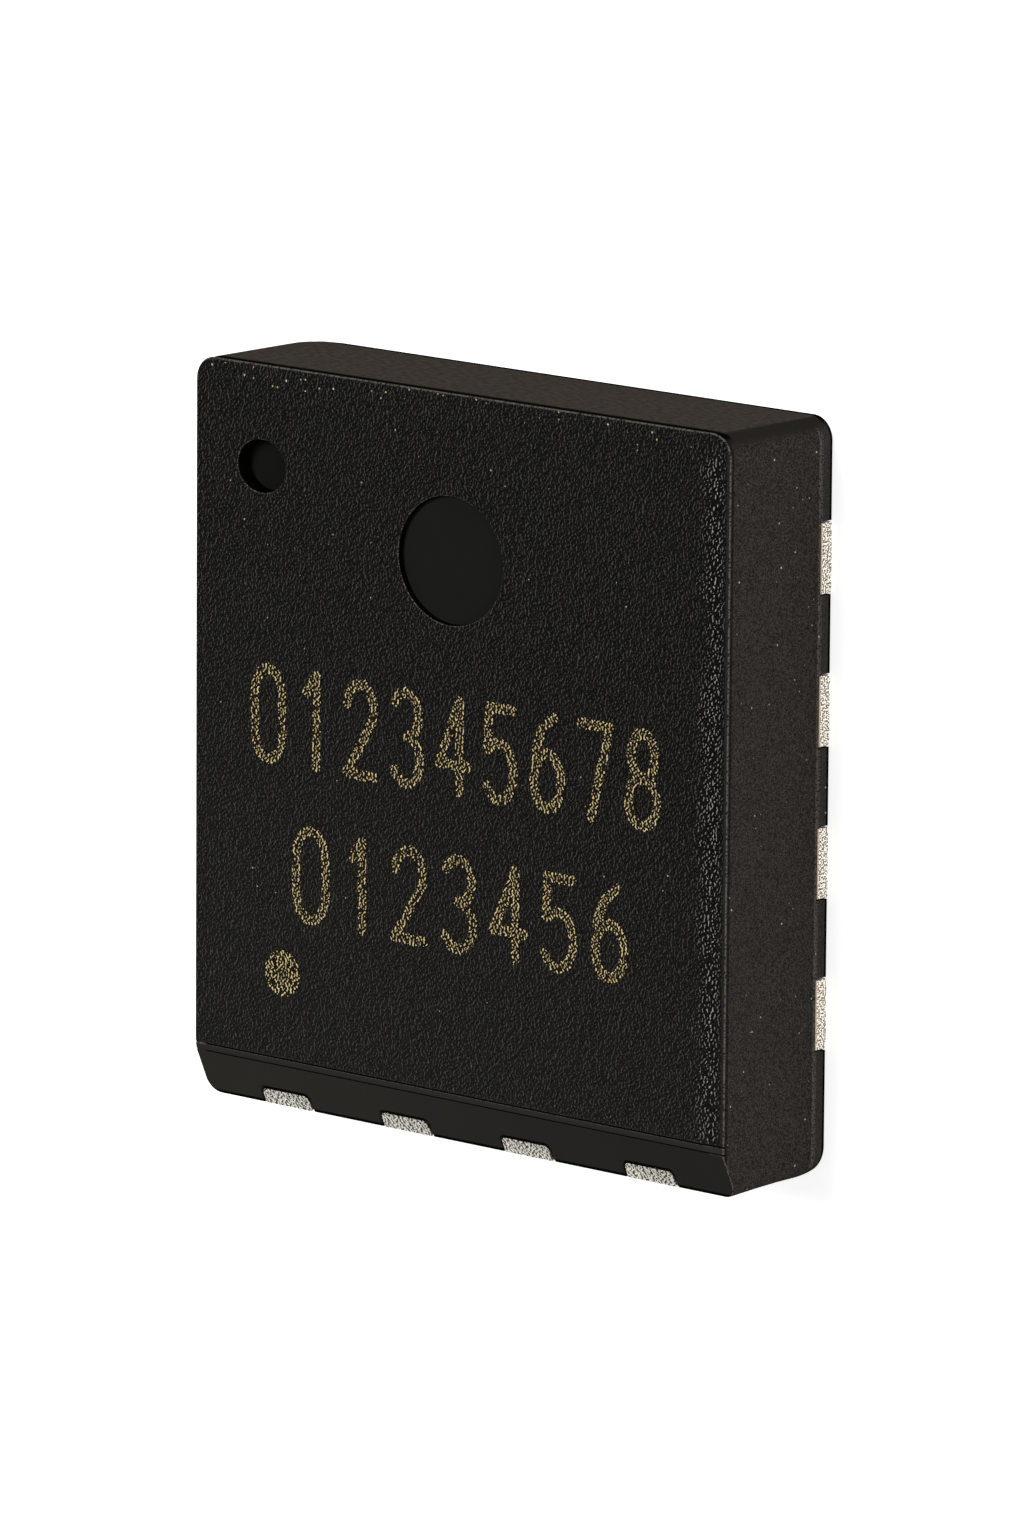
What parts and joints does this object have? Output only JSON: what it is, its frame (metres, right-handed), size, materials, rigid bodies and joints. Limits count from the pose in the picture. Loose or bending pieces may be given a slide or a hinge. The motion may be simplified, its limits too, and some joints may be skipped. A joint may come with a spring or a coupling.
{
  "type": "quad flat no-lead chip",
  "caption": "Flat black moulded chip with a bevelled end, flush tin-plated terminals, an exposed pad below, and a die with bond wires sealed inside.",
  "frame": {"origin": "middle of the seating plane", "axes": "+Z out of the marked face, -Y towards the bevelled end, +X to the right when the marked face is read"},
  "size_m": [0.0038, 0.004, 0.0008],
  "materials": {
    "mold_compound": "fine-grained matte black moulding",
    "tin_plate": "granular matte tin plate over copper",
    "silver_epoxy": "cured silver-filled adhesive",
    "silicon": "polished grey silicon",
    "gold_wire": "drawn gold wire",
    "laser_mark": "granular gold-beige laser marking"
  },
  "bodies": {
    "root": {"mold_body": "mold_compound", "exposed_pad": "tin_plate", "die_attach": "silver_epoxy", "die": "silicon", "terminal_01": "tin_plate", "terminal_02": "tin_plate", "terminal_03": "tin_plate", "terminal_04": "tin_plate", "terminal_05": "tin_plate", "terminal_06": "tin_plate", "terminal_07": "tin_plate", "terminal_08": "tin_plate", "terminal_09": "tin_plate", "terminal_10": "tin_plate", "terminal_11": "tin_plate", "terminal_12": "tin_plate", "terminal_13": "tin_plate", "terminal_14": "tin_plate", "terminal_15": "tin_plate", "terminal_16": "tin_plate", "bond_wire_01": "gold_wire", "bond_wire_02": "gold_wire", "bond_wire_03": "gold_wire", "bond_wire_04": "gold_wire", "bond_wire_05": "gold_wire", "bond_wire_06": "gold_wire", "bond_wire_07": "gold_wire", "bond_wire_08": "gold_wire", "bond_wire_09": "gold_wire", "bond_wire_10": "gold_wire", "bond_wire_11": "gold_wire", "bond_wire_12": "gold_wire", "bond_wire_13": "gold_wire", "bond_wire_14": "gold_wire", "bond_wire_15": "gold_wire", "bond_wire_16": "gold_wire"}
  },
  "joints": []
}
